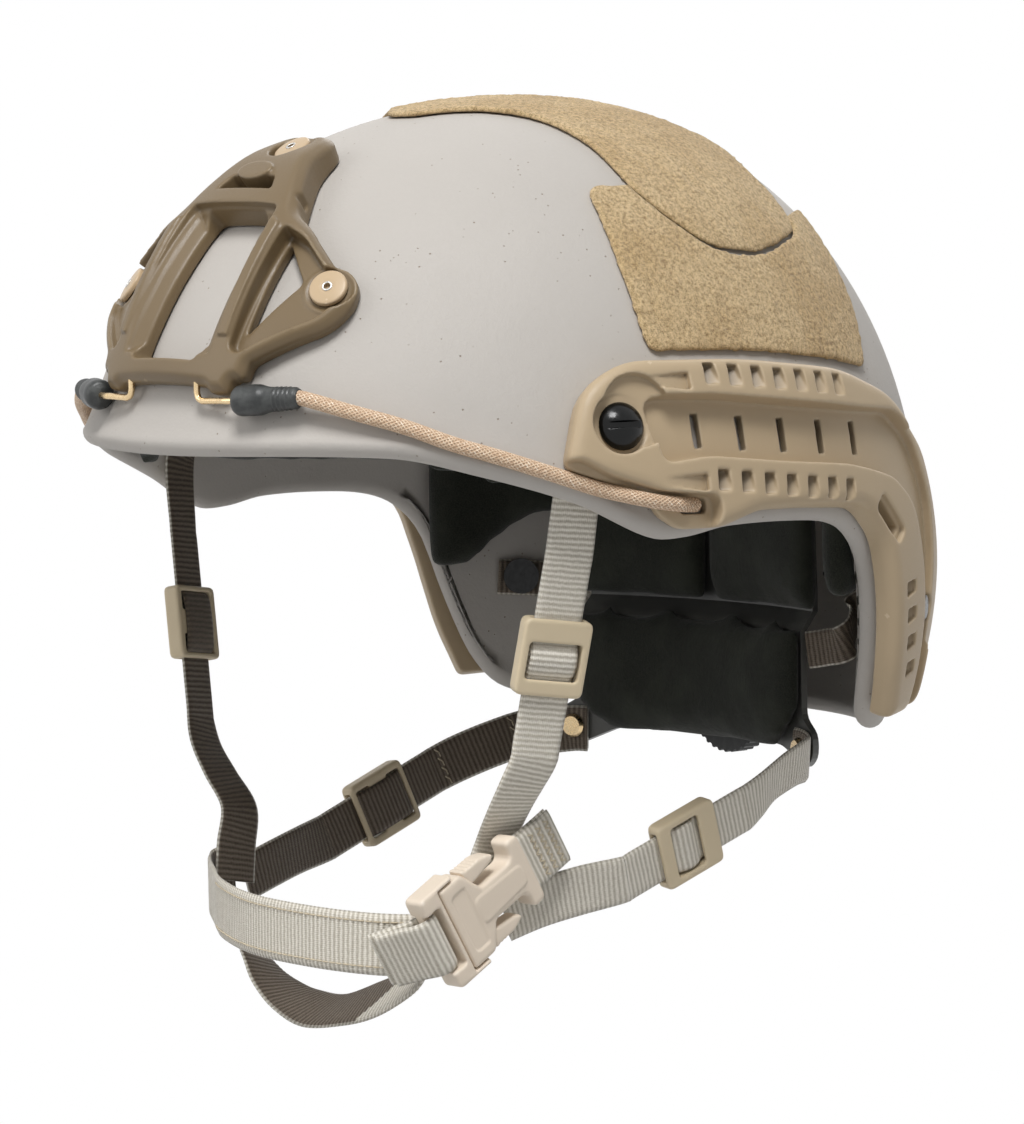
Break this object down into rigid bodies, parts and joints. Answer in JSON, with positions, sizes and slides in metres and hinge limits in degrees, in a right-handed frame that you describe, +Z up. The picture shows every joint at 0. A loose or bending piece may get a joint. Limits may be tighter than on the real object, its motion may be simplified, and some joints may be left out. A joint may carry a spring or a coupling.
{
  "type": "combat helmet",
  "caption": "High-cut combat helmet with a front mounting shroud, side rails with bungees, loop fastener panels, a padded dial-fit liner and a buckled chin strap.",
  "frame": {"origin": "centre of the head opening, in the plane of the front brim's lower edge", "axes": "+X to the wearer's left, the face looks along -Y, +Z up through the crown"},
  "size_m": [0.2582, 0.2727, 0.2885],
  "materials": {
    "shell": "fine-pitted matt paint",
    "shroud": "satin moulded plastic",
    "screw_tan": "satin paint",
    "black_metal": "gloss black",
    "rail": "satin moulded plastic",
    "bungee": "braided sheath",
    "boot": "satin rubber",
    "wire": "bright",
    "loop": "fuzzy loop pile",
    "pad": "brushed fabric over foam",
    "grey_plastic": "satin",
    "black_plastic": "satin",
    "webbing": "ribbed webbing",
    "lace": "braided",
    "hardware": "satin moulded plastic"
  },
  "bodies": {
    "helmet": {"shell": "shell", "front_shroud": "shroud", "shroud_screws": "screw_tan", "shroud_nuts": "black_metal", "left_rail": "rail", "right_rail": "rail", "rail_screws": "black_metal", "rail_nuts": "black_metal", "left_bungee": "bungee", "right_bungee": "bungee", "left_boot": "boot", "right_boot": "boot", "left_hook": "wire", "right_hook": "wire", "crown_loop_panel": "loop", "left_loop_panel": "loop", "right_loop_panel": "loop", "rear_loop_panel": "loop", "brow_pad": "pad", "crown_pad": "pad", "left_front_pad": "pad", "right_front_pad": "pad", "left_rear_pad": "pad", "right_rear_pad": "pad", "left_band": "webbing", "right_band": "webbing", "left_lace": "lace", "right_lace": "lace", "left_front_strap": "webbing", "right_front_strap": "webbing", "left_rear_strap": "webbing", "right_rear_strap": "webbing", "buckle_tab": "webbing", "buckle_female": "hardware", "buckle_male": "hardware", "chin_loop": "webbing", "upper_chin_band": "webbing", "lower_chin_band": "webbing"},
    "nape": {"nape_cradle": "grey_plastic", "left_upper_nape_pad": "pad", "right_upper_nape_pad": "pad", "nape_pad": "pad", "dial_housing": "grey_plastic", "strap_studs": "wire"},
    "dial": {"adjuster_dial": "black_plastic", "lace_spool": "black_plastic"},
    "left_front_slide": {"left_front_slider": "hardware"},
    "right_front_slide": {"right_front_slider": "hardware"},
    "left_rear_slide": {"left_rear_slider": "hardware"},
    "right_rear_slide": {"right_rear_slider": "hardware"},
    "upper_prong": {"buckle_upper_prong": "hardware"},
    "lower_prong": {"buckle_lower_prong": "hardware"}
  },
  "joints": [
    {"name": "nape_tighten", "type": "slide", "parent": "helmet", "child": "nape", "axis": [0, -1, 0], "range_m": [0, 0.01], "deforming": ["left_band", "right_band", "left_lace", "right_lace", "left_rear_strap", "right_rear_strap"]},
    {"name": "dial_turn", "type": "hinge", "parent": "nape", "child": "dial", "pos_m": [0, 0.09, -0.0925], "axis": [0, 1, 0], "range_deg": [0, 300]},
    {"name": "left_front_slider_travel", "type": "slide", "parent": "helmet", "child": "left_front_slide", "axis": [0.2035, 0.0631, 0.977], "range_m": [-0.008, 0.008]},
    {"name": "left_rear_slider_travel", "type": "slide", "parent": "helmet", "child": "left_rear_slide", "axis": [0.0469, 0.9383, 0.3425], "range_m": [-0.007, 0.007]},
    {"name": "right_front_slider_travel", "type": "slide", "parent": "helmet", "child": "right_front_slide", "axis": [-0.2035, 0.0631, 0.977], "range_m": [-0.008, 0.008]},
    {"name": "right_rear_slider_travel", "type": "slide", "parent": "helmet", "child": "right_rear_slide", "axis": [-0.0469, 0.9383, 0.3425], "range_m": [-0.007, 0.007]},
    {"name": "upper_prong_squeeze", "type": "hinge", "parent": "helmet", "child": "upper_prong", "pos_m": [0.0725, -0.09277, -0.13604], "axis": [-1, 0, 0], "range_deg": [0, 7], "stiffness_Nm_per_rad": 0.08},
    {"name": "lower_prong_squeeze", "type": "hinge", "parent": "helmet", "child": "lower_prong", "pos_m": [0.0725, -0.08424, -0.15075], "axis": [1, 0, 0], "range_deg": [0, 7], "stiffness_Nm_per_rad": 0.08}
  ],
  "couplings": [
    {"joint": "dial_turn", "follows": "nape_tighten", "rad_per_m": 523.6},
    {"joint": "lower_prong_squeeze", "follows": "upper_prong_squeeze", "ratio": 1}
  ]
}
